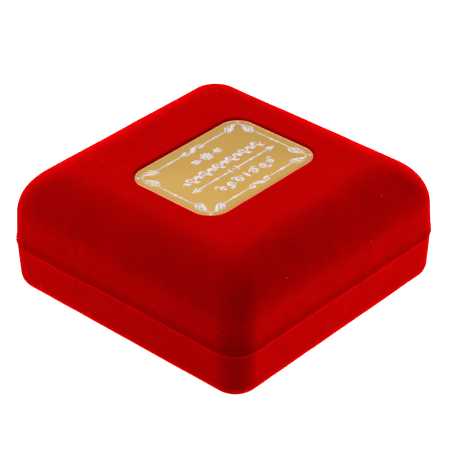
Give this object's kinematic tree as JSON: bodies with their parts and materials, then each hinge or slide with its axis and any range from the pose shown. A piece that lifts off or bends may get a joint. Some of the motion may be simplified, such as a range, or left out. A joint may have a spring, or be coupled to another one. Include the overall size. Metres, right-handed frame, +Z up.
{
  "type": "cased medal",
  "caption": "Square flocked presentation case with a domed hinged lid, blank name plate, satin lid pad and a round laurel medal in a fitted insert.",
  "frame": {"origin": "centre of the case's underside", "axes": "+Z up; -Y is the front that opens; +Y the hinge side; +X to the right of someone who reads the plate from the front"},
  "size_m": [0.1, 0.1013, 0.0437],
  "materials": {
    "outer_flock": "short-pile red flock over moulded plastic",
    "insert_flock": "short-pile red flock over formed sheet",
    "medal_gold": "polished gold plating",
    "plate_gold": "satin gold sheet",
    "card": "pressed paper board",
    "satin": "padded white satin",
    "hinge_metal": "brass-plated steel",
    "spring_steel": "bright spring steel"
  },
  "bodies": {
    "case_base": {"base_shell": "outer_flock", "insert_tray": "insert_flock", "left_hinge_base_leaf": "hinge_metal", "left_hinge_pin": "hinge_metal", "left_hinge_spring": "spring_steel", "left_hinge_base_rivet_1": "hinge_metal", "left_hinge_base_rivet_2": "hinge_metal", "right_hinge_base_leaf": "hinge_metal", "right_hinge_pin": "hinge_metal", "right_hinge_spring": "spring_steel", "right_hinge_base_rivet_1": "hinge_metal", "right_hinge_base_rivet_2": "hinge_metal"},
    "case_lid": {"lid_shell": "outer_flock", "name_plate": "plate_gold", "lid_card": "card", "lid_pad": "satin", "left_hinge_lid_leaf": "hinge_metal", "left_hinge_lid_rivet_1": "hinge_metal", "left_hinge_lid_rivet_2": "hinge_metal", "right_hinge_lid_leaf": "hinge_metal", "right_hinge_lid_rivet_1": "hinge_metal", "right_hinge_lid_rivet_2": "hinge_metal"},
    "medal": {"medal": "medal_gold"}
  },
  "joints": [
    {"name": "lid_hinge", "type": "hinge", "parent": "case_base", "child": "case_lid", "pos_m": [0, 0.0491, 0.0174], "axis": [-1, 0, 0], "range_deg": [0, 95], "deforming": ["left_hinge_spring", "right_hinge_spring"]},
    {"name": "medal_lift", "type": "slide", "parent": "case_base", "child": "medal", "axis": [0, 0, 1], "range_m": [0, 0.0042]}
  ]
}
